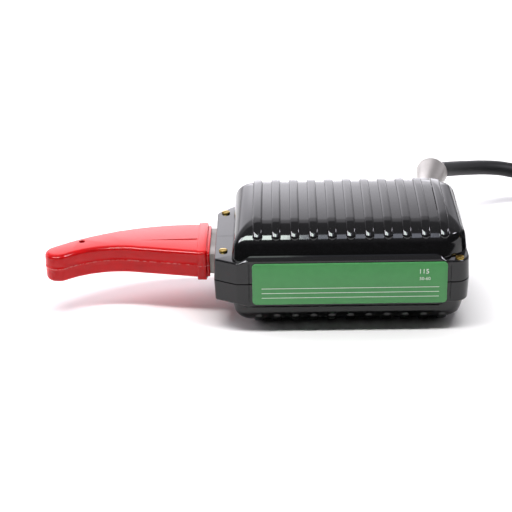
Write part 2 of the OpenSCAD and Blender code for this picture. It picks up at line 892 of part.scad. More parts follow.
module plug_blades() {
    color(brass)
        for (x = [-1, 1])
            translate([exit_x + x * blade_gap / 2, exit_y - sleeve_l - plug_l, high_z])
                difference() {
                    translate([-blade_t / 2, -blade_l, -blade_w / 2])
                        cube([blade_t, blade_l, blade_w]);
                    translate([-blade_t, -blade_l + 4, 0])
                        rotate([0, 90, 0])
                            cylinder(h = 2 * blade_t, d = blade_hole);
                }
}

upper_shell();
lower_shell();
label_plate();
case_screws();
case_nuts();
core_laminations();
core_rivets();
coil_bobbin();
coil_winding();
winding_wrap();
coil_pads();
probe_cap();
cord_guard();
guard_washer();
guard_nut();
cord_grommet();
cord_stub();
cord_crimp();
cord_wires();
wire_splices();
coil_leads();
power_cord();
cord_coil();
coil_tie();
plug_body();
plug_blades();
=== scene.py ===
import math

import bmesh
import bpy
import numpy as np
from mathutils import Matrix, Vector


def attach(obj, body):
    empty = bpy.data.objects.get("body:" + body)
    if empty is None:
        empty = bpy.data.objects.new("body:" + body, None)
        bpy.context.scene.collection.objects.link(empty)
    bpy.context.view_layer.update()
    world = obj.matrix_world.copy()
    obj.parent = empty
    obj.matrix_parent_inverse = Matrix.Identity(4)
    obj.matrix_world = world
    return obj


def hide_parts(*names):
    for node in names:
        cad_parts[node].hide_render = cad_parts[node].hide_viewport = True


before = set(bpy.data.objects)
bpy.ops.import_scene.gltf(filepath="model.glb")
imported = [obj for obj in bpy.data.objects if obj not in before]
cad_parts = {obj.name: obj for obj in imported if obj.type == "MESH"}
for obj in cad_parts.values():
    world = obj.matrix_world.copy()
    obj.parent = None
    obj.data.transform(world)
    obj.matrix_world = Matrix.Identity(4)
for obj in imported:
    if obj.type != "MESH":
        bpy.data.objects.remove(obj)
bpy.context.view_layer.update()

bl_info = {
    "name": "Tape Head Demagnetizer",
    "version": (1, 0, 0),
    "blender": (4, 5, 0),
    "location": "View3D > Sidebar > Demagnetizer",
    "description": "Dresses the packed solids of a hand-held tape head demagnetizer",
    "category": "Add Mesh",
}

MM = 0.001
CASE, CAP = "case", "cap"


def linear(code):
    """Linear colour of an sRGB hex value such as "4f8653"."""
    parts = [int(code[i:i + 2], 16) / 255 for i in (0, 2, 4)]
    return tuple(c / 12.92 if c <= 0.04045 else ((c + 0.055) / 1.055) ** 2.4 for c in parts)


def length(name, description, millimetres):
    """A length property, given in millimetres and kept in metres."""
    return bpy.props.FloatProperty(
        name=name, description=description, default=millimetres * MM, unit="LENGTH", precision=5)


def colour(name, description, code):
    """A colour property from an sRGB hex value."""
    return bpy.props.FloatVectorProperty(
        name=name, description=description, default=linear(code), subtype="COLOR", size=3, min=0, max=1)


class CaseSettings(bpy.types.PropertyGroup):
    """Sizes and colours of the two shells, their label and screws."""
    parting: length("Parting height", "Height of the joint between the shells", 27.6)
    dome_length: length("Dome length", "Dome, end to end", 119.3)
    dome_x: length("Dome middle", "Middle of the dome, from the middle rib", -0.25)
    dome_width: length("Dome width", "Dome, front to back", 72)
    dome_height: length("Dome height", "Upper dome over the joint, between ribs", 28.2)
    dome_less: length("Lower dome", "How much shallower the lower dome is", 1.6)
    crown: length("Crown", "Swell of the upper dome's top along its middle", 0.7)
    brow: length("Brow radius", "Rounding between the dome's walls and its top", 12)
    nose_brow: length("Nose brow radius", "Rounding between the dome's nose wall and its top", 12)
    side_in: length("Side set-in", "From the foot of a side wall to the flat top", 13.6)
    nose_in: length("Nose set-in", "From the foot of the nose wall to the flat top", 12.6)
    rear_in: length("Rear set-in", "From the foot of the rear wall to the flat top", 12.8)
    corner: length("Rear corners", "Rounding of the dome's rear corners in plan", 16)
    nose_corner: length("Nose corner", "Rounding of the dome's front nose corner in plan", 3.5)
    nose_back: length("Far nose corner", "Rounding of the dome's back nose corner in plan", 5)
    rib_count: bpy.props.IntProperty(name="Ribs", description="Ribs over each shell", default=11, min=1)
    rib_pitch: length("Rib pitch", "Spacing of the ribs", 9.34)
    rib_width: length("Rib width", "Width of a rib at its foot", 4.7)
    rib_height: length("Rib height", "How far a rib stands out", 1)
    rim_height: length("Rim height", "Half height of the rim", 11.5)
    panel_height: length("Panel height", "Half height of the raised label panel", 14)
    label_length: length("Label length", "Label, end to end", 97.7)
    label_height: length("Label height", "Label, bottom to top", 22.4)
    plastic: colour("Case", "Black phenolic", "09090a")
    paint: colour("Label", "Green paint of the label", "459450")
    ink: colour("Print", "White print on the label", "e9ece6")
    brass: colour("Screws", "Brass of the screws", "a88f4e")


class ProbeSettings(bpy.types.PropertyGroup):
    """Sizes and colours of the probe's cap and core."""
    half_height: length("Cap half height", "Half height of the cap", 7.6)
    edge: length("Cap edge", "Rounding of the cap's edges", 2.2)
    vinyl: colour("Cap", "Red vinyl", "c4070b")
    steel: colour("Core", "Cut sheet steel", "7f7975")


class CordSettings(bpy.types.PropertyGroup):
    """Sizes and colours of the cord, its guard and its plug."""
    diameter: length("Cord diameter", "Round mains cord", 8.6)
    reach: bpy.props.FloatProperty(
        name="Cord length", description="From the guard to the plug", default=1.9, unit="LENGTH")
    jacket: colour("Jacket", "Black vinyl jacket", "1c1c1e")
    guard: colour("Guard", "Turned aluminium", "b4b0ac")
    blade: colour("Blades", "Plated brass", "c9b27a")


class StageSettings(bpy.types.PropertyGroup):
    """Camera and light."""
    place: bpy.props.FloatVectorProperty(
        name="Camera", description="Camera position", default=(-0.03426, -0.71878, 0.36938),
        subtype="TRANSLATION", unit="LENGTH", size=3)
    turn: bpy.props.FloatVectorProperty(
        name="Camera turn", description="Camera rotation", subtype="EULER", size=3,
        default=(math.radians(64.382), math.radians(1.146), math.radians(0.562)))
    focal: bpy.props.FloatProperty(
        name="Focal length", description="For a 36 mm wide sensor", default=106.63, unit="CAMERA")
    paper: colour("Table", "White paper", "f4f3f3")


# Building blocks

def node(tree, kind, inputs=None, **settings):
    """Adds a node, sets its properties, and fills its inputs with values or links."""
    made = tree.nodes.new(kind)
    for name, value in settings.items():
        setattr(made, name, value)
    for name, value in (inputs or {}).items():
        if isinstance(value, bpy.types.NodeSocket):
            tree.links.new(value, made.inputs[name])
        else:
            made.inputs[name].default_value = value
    return made


def surface(name, shader):
    """A material whose Principled shader is filled by the function shader(tree) -> inputs."""
    material = bpy.data.materials.get(name)
    if material:
        return material
    material = bpy.data.materials.new(name)
    material.use_nodes = True
    tree = material.node_tree
    tree.nodes.clear()
    principled = node(tree, "ShaderNodeBsdfPrincipled", shader(tree))
    node(tree, "ShaderNodeOutputMaterial", {"Surface": principled.outputs[0]})
    return material


def rgba(c, gain=1.0):
    """A colour made darker or lighter by gain, with the fourth value that nodes take."""
    return (c[0] * gain, c[1] * gain, c[2] * gain, 1.0)


def own_space(tree):
    """Places in the piece's own space, in metres."""
    return node(tree, "ShaderNodeTexCoord").outputs["Object"]


def noise(tree, at, size, detail, rough=0.5):
    """Noise from 0 to 1, with features of a size in millimetres."""
    return node(tree, "ShaderNodeTexNoise", {
        "Vector": at, "Scale": 1 / (size * MM), "Detail": detail, "Roughness": rough}).outputs["Fac"]


def streaks(tree, at, scale, detail):
    """Noise with so many features to the metre along X, Y and Z."""
    stretched = node(tree, "ShaderNodeMapping", {"Vector": at, "Scale": scale})
    return noise(tree, stretched.outputs[0], 1 / MM, detail)


def span(tree, value, a, b, low, high, interpolation="LINEAR"):
    """Turns a value between a and b into one between low and high."""
    return node(tree, "ShaderNodeMapRange", {
        "Value": value, "From Min": a, "From Max": b, "To Min": low, "To Max": high},
        interpolation_type=interpolation).outputs[0]


def combine(tree, how, a, b=0.0):
    """Works out a and b by an operation such as ADD."""
    return node(tree, "ShaderNodeMath", {0: a, 1: b}, operation=how).outputs[0]


def blend(tree, share, a, b, kind="RGBA"):
    """A colour, or for kind FLOAT a number, between a and b."""
    return node(tree, "ShaderNodeMix", {"Factor": share, "A": a, "B": b}, data_type=kind).outputs["Result"]


def relief(tree, height, strength, depth):
    """Normals of a bumpy surface whose bumps have a depth in millimetres."""
    return node(tree, "ShaderNodeBump", {
        "Strength": strength, "Distance": depth * MM, "Height": height}).outputs[0]


def add(name, data):
    """A new object in the scene."""
    made = bpy.data.objects.new(name, data)
    bpy.context.scene.collection.objects.link(made)
    return made


def new_object(name, verts, faces, material, sharp=35, body=CASE):
    """A mesh from points in millimetres, with smooth shading broken at sharp edges."""
    mesh = bpy.data.meshes.new(name)
    mesh.from_pydata((np.asarray(verts, float) * MM).tolist(), [], [tuple(map(int, f)) for f in faces])
    form = bmesh.new()
    form.from_mesh(mesh)
    bmesh.ops.remove_doubles(form, verts=form.verts, dist=1e-6)
    bmesh.ops.recalc_face_normals(form, faces=form.faces)
    form.to_mesh(mesh)
    form.free()
    mesh.shade_smooth()
    mesh.set_sharp_from_angle(angle=math.radians(sharp))
    made = add(name, mesh)
    mesh.materials.append(material)
    if body:
        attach(made, body)
    return made


def dress(name, material):
    """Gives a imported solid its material, and returns the solid."""
    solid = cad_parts[name]
    solid.data.materials.clear()
    solid.data.materials.append(material)
    return solid


def discard(thing):
    """Removes an object and its mesh."""
    mesh = thing.data
    bpy.data.objects.remove(thing)
    bpy.data.meshes.remove(mesh)


def cut(target, tools, operation="DIFFERENCE"):
    """Cuts the tools out of target, or joins them to it, and removes them."""
    for tool in tools:
        change = target.modifiers.new("cut", "BOOLEAN")
        change.operation = operation
        change.solver = "EXACT"
        change.object = tool
        with bpy.context.temp_override(object=target, active_object=target):
            bpy.ops.object.modifier_apply(modifier=change.name)
        discard(tool)
    target.data.shade_smooth()


def merge(parts):
    """Joins objects into the first one."""
    form = bmesh.new()
    for part in parts:
        form.from_mesh(part.data)
    first, *others = parts
    form.to_mesh(first.data)
    form.free()
    for part in others:
        discard(part)
    return first


def strip(a, b):
    """Quads between two rows of point numbers."""
    return [(a[i], a[i + 1], b[i + 1], b[i]) for i in range(len(a) - 1)]


def loft(rings, ends=True):
    """Points and faces of a skin over closed rings of equal size, with its two ends filled."""
    rings = np.asarray(rings, float)
    rows, n = rings.shape[:2]
    ids = np.arange(rows * n).reshape(rows, n)
    faces = []
    for r in range(rows - 1):
        faces += strip(np.append(ids[r], ids[r][0]), np.append(ids[r + 1], ids[r + 1][0]))
    if ends:
        faces += [tuple(ids[0][::-1]), tuple(ids[-1])]
    return rings.reshape(-1, 3), faces


def lathe(profile, steps, closed=False, start=0.0):
    """Points and faces of a profile of (radius, height) turned round Z."""
    turn = np.linspace(0, 2 * np.pi, steps, endpoint=False) + start
    rings = [[(r * np.cos(t), r * np.sin(t), z) for t in turn] for r, z in profile]
    if closed:
        rings.append(rings[0])
    return loft(rings, ends=not closed)


def place(verts, origin, axis):
    """Points moved so that Z lies along axis and the origin at origin."""
    z = np.asarray(axis, float) / np.linalg.norm(axis)
    x = np.cross((0, 0, 1), z) if abs(z[2]) < 0.9 else np.cross((0, 1, 0), z)
    x /= np.linalg.norm(x)
    return np.asarray(verts) @ np.array([x, np.cross(z, x), z]) + np.asarray(origin)


def smooth(t):
    """Eases from 0 to 1 while t goes from 0 to 1."""
    t = np.clip(t, 0, 1)
    return t * t * (3 - 2 * t)


def bend(points, steps):
    """A smooth line through points."""
    p = np.asarray(points, float)
    p = np.vstack([2 * p[0] - p[1], p, 2 * p[-1] - p[-2]])
    line = []
    for a, b, c, d in zip(p, p[1:], p[2:], p[3:]):
        for t in np.arange(steps) / steps:
            line.append(0.5 * (2 * b + (c - a) * t + (2 * a - 5 * b + 4 * c - d) * t * t
                               + (3 * b - a - 3 * c + d) * t ** 3))
    line.append(p[-2])
    return np.array(line)


def rounded(corners, steps):
    """Outline points and inward directions of a polygon with round corners (x, y, radius)."""
    points, inward = [], []
    n = len(corners)
    for i in range(n):
        p, a, b = (np.array(corners[k % n][:2], float) for k in (i, i - 1, i + 1))
        u, v = (a - p) / np.linalg.norm(a - p), (b - p) / np.linalg.norm(b - p)
        half = math.acos(np.clip(u @ v, -1, 1)) / 2
        r = corners[i][2]
        middle = (u + v) / np.linalg.norm(u + v)
        centre = p + middle * r / math.sin(half)
        start = p + u * r / math.tan(half) - centre
        end = p + v * r / math.tan(half) - centre
        turn = math.atan2(start[0] * end[1] - start[1] * end[0], start @ end)
        for t in np.linspace(0, turn, steps + 1):
            arm = np.array([start[0] * math.cos(t) - start[1] * math.sin(t),
                            start[0] * math.sin(t) + start[1] * math.cos(t)])
            points.append(centre + arm)
            inward.append(-arm / r)
    return np.array(points), np.array(inward)


def rounded_box(x0, y0, x1, y1, r, steps):
    """The same for a rectangle."""
    return rounded([(x0, y0, r), (x1, y0, r), (x1, y1, r), (x0, y1, r)], steps)


# Materials

def phenolic(c, dull):
    """Phenolic moulding, polished by its die: deep black, clear reflections, faint dust and hairlines."""
    def shader(tree):
        at = own_space(tree)
        # dust, in specks about 1.5 mm wide
        dust = span(tree, noise(tree, at, 1.5, 4.0), 0.35, 0.8, 0.0, 1.0)
        # hairlines along the ribs, about 0.4 mm apart
        hair = streaks(tree, at, (2500.0, 60.0, 900.0), 2.0)
        # orange peel of the moulding, about 4 mm
        peel = noise(tree, at, 4, 1.0)
        return {"Base Color": blend(tree, dust, rgba(c), rgba(c, 1.6)),
                "Roughness": span(tree, hair, 0.3, 0.75, dull, dull + 0.07),
                "IOR": 1.46, "Normal": relief(tree, peel, 0.03, 0.2)}
    return shader


def vinyl(c, pale, seam_height):
    """Dip-moulded vinyl: saturated red, a soft sheen, a paler seam at half height and scuffs."""
    def shader(tree):
        at = own_space(tree)
        mottle = noise(tree, at, 6, 5.0)
        scuff = noise(tree, at, 2.2, 8.0, 0.7)
        height = node(tree, "ShaderNodeSeparateXYZ", {"Vector": at}).outputs["Z"]
        away = combine(tree, "ABSOLUTE", combine(tree, "SUBTRACT", height, seam_height))
        # flash line of the mould, about 0.5 mm wide and broken
        seam = span(tree, away, 0.15 * MM, 0.4 * MM, 1.0, 0.0)
        line = combine(tree, "MULTIPLY", seam, span(tree, scuff, 0.42, 0.62, 0.0, 0.55))
        tone = blend(tree, mottle, rgba(c, 0.86), rgba(c, 1.12))
        return {"Base Color": blend(tree, line, tone, rgba(pale)),
                "Roughness": span(tree, scuff, 0.3, 0.8, 0.08, 0.2),
                "IOR": 1.46, "Specular IOR Level": 0.3, "Normal": relief(tree, mottle, 0.08, 0.15)}
    return shader


def enamel(c, rough):
    """Stoved paint: even colour with a slight mottle and a satin finish."""
    def shader(tree):
        at = own_space(tree)
        fine = noise(tree, at, 0.6, 2.0)
        return {"Base Color": blend(tree, noise(tree, at, 3, 6.0), rgba(c, 0.93), rgba(c, 1.07)),
                "Roughness": span(tree, fine, 0.0, 1.0, rough - 0.05, rough + 0.05),
                "IOR": 1.5, "Normal": relief(tree, fine, 0.05, 0.05)}
    return shader


def metal(c, rough, stretch, spread=0.12):
    """Bare metal with tool marks: stretch gives the marks' size in millimetres along X, Y and Z."""
    def shader(tree):
        at = own_space(tree)
        lines = streaks(tree, at, tuple(1 / (s * MM) for s in stretch), 4.0)
        return {"Base Color": blend(tree, noise(tree, at, 5, 3.0), rgba(c, 0.85), rgba(c, 1.08)),
                "Roughness": span(tree, lines, 0.25, 0.75, rough - spread / 2, rough + spread / 2),
                "Metallic": 1.0, "Normal": relief(tree, lines, 0.15, 0.05)}
    return shader


def soft(c, rough, size, depth=0.1, shine=0.5):
    """Rubber, vinyl, board or woven tape: matt, with a grain of the given size in millimetres."""
    def shader(tree):
        grain = noise(tree, own_space(tree), size, 4.0)
        return {"Base Color": blend(tree, grain, rgba(c, 0.8), rgba(c, 1.2)),
                "Roughness": span(tree, grain, 0.0, 1.0, rough - 0.06, rough + 0.06),
                "IOR": 1.5, "Specular IOR Level": shine, "Normal": relief(tree, grain, depth, 0.2 * size)}
    return shader


def wound(c, pitch):
    """Enamelled copper: fine turns across X, drawn at the given spacing in millimetres."""
    def shader(tree):
        scale = 2 * math.pi / (20 * pitch * MM)
        turns = node(tree, "ShaderNodeTexWave", {
            "Vector": own_space(tree), "Scale": scale, "Distortion": 0.3, "Detail": 1.0},
            bands_direction="X").outputs["Fac"]
        return {"Base Color": blend(tree, turns, rgba(c, 0.5), rgba(c, 1.1)), "Metallic": 0.85,
                "Roughness": 0.32, "Normal": relief(tree, turns, 0.6, 0.2)}
    return shader


def turned_brass(c):
    """Brass of the screws and their nuts."""
    return surface("turned brass", metal(c.brass, 0.28, (0.4, 0.4, 4)))


def cord_jacket(s):
    """Vinyl of the cord's jacket, inside the case and outside it."""
    return surface("vinyl cord jacket", soft(s.jacket, 0.5, 0.5, shine=0.25))


# Stage

def lamp(name, at, aim, size, watts, tint="ffffff"):
    """A rectangular lamp at a place, turned towards another."""
    light = bpy.data.lights.new(name, "AREA")
    light.shape = "RECTANGLE"
    light.size, light.size_y = size
    light.energy = watts
    light.color = linear(tint)
    held = add(name, light)
    held.location = at
    held.rotation_euler = (Vector(aim) - Vector(at)).to_track_quat("-Z", "Y").to_euler()
    return held


class DEMAG_OT_stage(bpy.types.Operator):
    """Sets the table, the light and the camera"""
    bl_idname = "demag.stage"
    bl_label = "Stage"

    def execute(self, context):
        s = context.scene.demag_stage
        scene = context.scene
        scene.view_settings.view_transform = "Standard"

        camera = bpy.data.cameras.new("camera")
        camera.sensor_width = 36
        camera.lens = s.focal
        eye = add("camera", camera)
        eye.location = s.place
        eye.rotation_euler = s.turn
        scene.camera = eye

        # white paper, with a faint tooth
        def paper(tree):
            tooth = noise(tree, own_space(tree), 1.2, 3.0)
            return {"Base Color": rgba(s.paper), "Roughness": 0.9, "IOR": 1.3,
                    "Normal": relief(tree, tooth, 0.02, 0.1)}

        sheet = [(-2000, -330, 0), (300, -330, 0), (300, 3000, 0), (-2000, 3000, 0)]
        table = new_object("table", sheet, [(0, 1, 2, 3)], surface("white paper", paper), body=None)

        # the room, by the direction of a ray: mirrors see a paper wall behind, brightest low and to the left,
        # and a dim ceiling, while matt surfaces are lit evenly from behind and more from the left
        world = bpy.data.worlds.new("studio")
        scene.world = world
        world.use_nodes = True
        tree = world.node_tree
        tree.nodes.clear()
        direction = node(tree, "ShaderNodeTexCoord").outputs["Generated"]
        way = node(tree, "ShaderNodeSeparateXYZ", {"Vector": direction}).outputs

        def ramp(axis, a, b, at_a, at_b):
            return span(tree, way[axis], a, b, at_a, at_b, "SMOOTHSTEP")

        behind = ramp("Y", -0.05, 0.25, 0.0, 1.0)
        wall = combine(tree, "MAXIMUM", ramp("X", -0.03, 0.16, 1.0, 0.45), ramp("Z", 0.34, 0.39, 1.0, 0.0))
        for shade in (behind, ramp("Z", -0.1, 0.1, 0.1, 1.0), ramp("Z", 0.30, 0.62, 4.0, 1.1),
                      ramp("Z", 0.85, 0.92, 1.0, 0.0), ramp("X", 0.12, 0.4, 1.0, 0.2),
                      ramp("X", -0.45, -0.06, 0.45, 1.0)):
            wall = combine(tree, "MULTIPLY", wall, shade)
        mirrored = combine(tree, "ADD", wall, ramp("Z", 0.2, 0.8, 0.1, 0.45))
        side = combine(tree, "MULTIPLY", ramp("X", -0.6, -0.1, 3.4, 0.0), ramp("Y", -0.1, 0.25, 0.0, 1.0))
        rays = node(tree, "ShaderNodeLightPath").outputs
        lit = blend(tree, rays["Is Glossy Ray"], combine(tree, "ADD", behind, side), mirrored, "FLOAT")
        seen = combine(tree, "MAXIMUM", rays["Is Camera Ray"], rays["Is Transmission Ray"])
        glow = node(tree, "ShaderNodeBackground", {
            "Color": rgba(linear("faf8ff")), "Strength": blend(tree, seen, lit, 1.0, "FLOAT")})
        node(tree, "ShaderNodeOutputWorld", {"Surface": glow.outputs[0]})

        # strip lamp overhead, which lights but isn't mirrored
        key = lamp("key", (0.0, -0.2, 1.2), (0, -0.03, 0.02), (1.2, 0.14), 15.6)
        key.visible_glossy = False

        # cards above and beside the camera, which are mirrored but don't light matt surfaces
        for name, x, y, wide, watts, tint in (("window", -0.185, -0.79, 0.33, 8.8, "f2fff8"),
                                              ("pane", 0.075, -0.79, 0.19, 0.85, "e8eeff"),
                                              ("shelf", -0.66, -0.66, 0.56, 14.0, "fafaff"),
                                              ("door", 0.91, -0.31, 0.4, 11.0, "f6f4ff")):
            card = lamp(name, (x, y, 0.94), (min(x, 0.1), 0, 0.05), (wide, 0.36), watts, tint)
            card.visible_diffuse = False
        return {"FINISHED"}


# Cord, coil, strap and plug

GUARD_FOOT = np.array([43.4, 42.5, 40.6])
GUARD_SWING, GUARD_RISE = math.radians(14), math.radians(3)
GUARD_AXIS = np.array([math.sin(GUARD_SWING) * math.cos(GUARD_RISE),
                       math.cos(GUARD_SWING) * math.cos(GUARD_RISE), math.sin(GUARD_RISE)])
CORD_START = 15  # from the guard's foot to the free cord
CORD_LIFT = 1.0  # room for the strap under the coil
COIL_X, COIL_ROW, COIL_IN, COIL_PITCH, COIL_TURNS = 168.0, 121.5, 32.3, 9.05, 2.875
COIL_OUT = COIL_IN + COIL_PITCH * COIL_TURNS
COIL_Y = COIL_ROW - COIL_OUT


def cord_route(d):
    """Centre line of the whole cord in millimetres: guard, table, coil, plug."""
    low = CORD_LIFT + d / 2
    free = [GUARD_FOOT + GUARD_AXIS * CORD_START, GUARD_FOOT + GUARD_AXIS * (CORD_START + d),
            (51, 71.5, 41.6), (55, 79.5, 39.4), (61, 88.5, 36), (68, 97.5, 32.6), (76, 106, 29.3),
            (85, 113.5, 26.3), (95, 118.5, 23.6), (105, 120.7, 20.8), (115, 121.3, 17.3),
            (125, 121.5, 13.3), (135, 121.5, 9.4), (144, 121.5, 6.4),
            (COIL_X - 2 * d, COIL_ROW, low), (COIL_X - d, COIL_ROW, low)]
    turns = 2 * COIL_TURNS + 0.5
    t = np.linspace(0, turns, round(turns * 36) + 1)
    r = COIL_OUT - COIL_PITCH * np.minimum(t, turns - t)
    z = low + COIL_PITCH * np.clip((t - COIL_TURNS) * 2, 0, 1)
    coil = np.stack([COIL_X + r * np.sin(2 * np.pi * t), COIL_Y + r * np.cos(2 * np.pi * t), z], 1)
    return np.vstack([bend(free, 5), coil, [(COIL_X + COIL_OUT, COIL_Y - d, low + COIL_PITCH)]])


class DEMAG_OT_cord(bpy.types.Operator):
    """Lays the mains cord, its coil, strap and plug"""
    bl_idname = "demag.cord"
    bl_label = "Cord and plug"

    def execute(self, context):
        s = context.scene.demag_cord
        d = s.diameter / MM
        route = cord_route(d)
        curve = bpy.data.curves.new("mains_cord", "CURVE")
        curve.dimensions = "3D"
        curve.bevel_depth = s.diameter / 2
        curve.bevel_resolution = 6
        curve.use_fill_caps = True
        line = curve.splines.new("POLY")
        line.points.add(len(route) - 1)
        for point, at in zip(line.points, route):
            point.co = (*(at * MM), 1.0)
        line.use_smooth = True
        cord = add("mains_cord", curve)
        curve.materials.append(cord_jacket(s))
        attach(cord, CASE)
        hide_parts("power_cord", "cord_coil")

        # plug, as radius and distance from the cord's end: sleeve with seven ribs, tapered grip and flat face
        end = route[-1]
        sleeve = [(4.6, 0.0), (5.0, 0.4)]
        for i in range(7):
            z, r = 2 + 3.2 * i, 5.15 + 0.2 * i
            sleeve += [(r, z), (r, z + 1.9), (r - 0.7, z + 2.2), (r - 0.7, z + 2.9)]
        body = [(6.8, 25.4), (7.6, 26.2), (9.1, 27.2), (9.6, 28.4), (10.4, 33), (11.4, 38), (12.9, 43),
                (14.0, 47), (14.25, 49), (14.25, 56.4), (14.0, 57.3), (13.4, 57.9), (6, 58.0)]
        verts, faces = lathe(sleeve + body, 72)
        # grip flats: two sides, dished 1.6 mm deep
        away = np.hypot(verts[:, 0], verts[:, 1])
        dish = smooth((verts[:, 2] - 29) / 5) * smooth((47 - verts[:, 2]) / 5) * (away > 5)
        verts[:, 0] -= np.sign(verts[:, 0]) * 1.6 * dish * smooth((np.abs(verts[:, 0]) - 6) / 4)
        moulded = surface("moulded vinyl plug", soft(s.jacket, 0.42, 0.8))
        plug = new_object("mains_plug", place(verts, end, (0, -1, 0)), faces, moulded)
        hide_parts("plug_body")
        blades = dress("plug_blades", surface("plated brass blade", metal(s.blade, 0.3, (0.3, 6, 0.3))))

        # strap round the bundle
        slack = 0.3
        inner = COIL_IN - COIL_PITCH / 4 - d / 2 - slack
        outer = COIL_OUT - COIL_PITCH / 2 + d / 2 + slack
        top = CORD_LIFT + d + COIL_PITCH + slack
        loop, inward = rounded_box(-outer, CORD_LIFT - slack, -inner, top, d / 2, 6)
        woven = surface("woven strap", soft(linear("2a2a2c"), 0.8, 0.45, 0.5))
        rings = []
        for x, gap in ((-4.5, 0.25), (-4.2, 0.65), (4.2, 0.65), (4.5, 0.25), (4.5, 0.05), (-4.5, 0.05)):
            rings.append([(COIL_X + x, COIL_Y + p[0] - n[0] * gap, p[1] - n[1] * gap)
                          for p, n in zip(loop, inward)])
        verts, faces = loft(rings + rings[:1], ends=False)
        strap = new_object("coil_strap", verts, faces, woven)
        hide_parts("coil_tie")
        return {"FINISHED"}


# Case

RIB_START = math.radians(40)  # the ribs start where the dome's outside looks this far up
FAR_UP = 99.0  # a place on a rib well away from its ends
# Points across a rib, from its middle, closest together at its edge
RIB_STEPS = (0.6, 1.1, 1.5, 1.75, 1.95, 2.1, 2.2, 2.28, 2.33, 2.36)
# Hubs of the fans of rays over the ends: so far inside the last ribs, and so far from the middle line
HUB_GAP, HUB_Y = 0.6, 8.0
DOME_FOOT = 8.0  # height over the joint at which the dome starts, inside the rim
# The rear corners tighten by this much of the wall's lean, down to the least radius
REAR_EASE, REAR_LEAST = 2.4, 8


def rib_swell(c, x, along):
    """Height of the ribs over the dome, at x along the case and a distance up from the ribs' round ends."""
    pitch, w = c.rib_pitch / MM, c.rib_width / MM
    last = (c.rib_count - 1) / 2
    off = x - np.clip(np.round(x / pitch), -last, last) * pitch
    away = np.where(along < 0, np.hypot(off, along), np.abs(off)) / (w / 2)
    # flat on top, and domed like a finger tip towards the end
    blunt = 2 + 8 * smooth(along / 4)
    return c.rib_height / MM * np.sqrt(1 - np.minimum(away, 1) ** blunt)


def lean_in(z, foot, high, brow, inset):
    """How far a dome wall has come in at height z, and how steeply its outside looks up there."""
    centre = high - brow
    reach = math.hypot(inset, centre - foot)
    slope = math.atan2(centre - foot, inset) + math.asin(brow / reach)
    run = math.sqrt(reach ** 2 - brow ** 2)
    if z <= foot:
        return 0.0, 0.0
    if z < foot + run * math.sin(slope):
        return (z - foot) / math.tan(slope), math.pi / 2 - slope
    rise = min((z - centre) / brow, 1.0)
    return inset - brow * math.sqrt(1 - rise * rise), math.asin(rise)


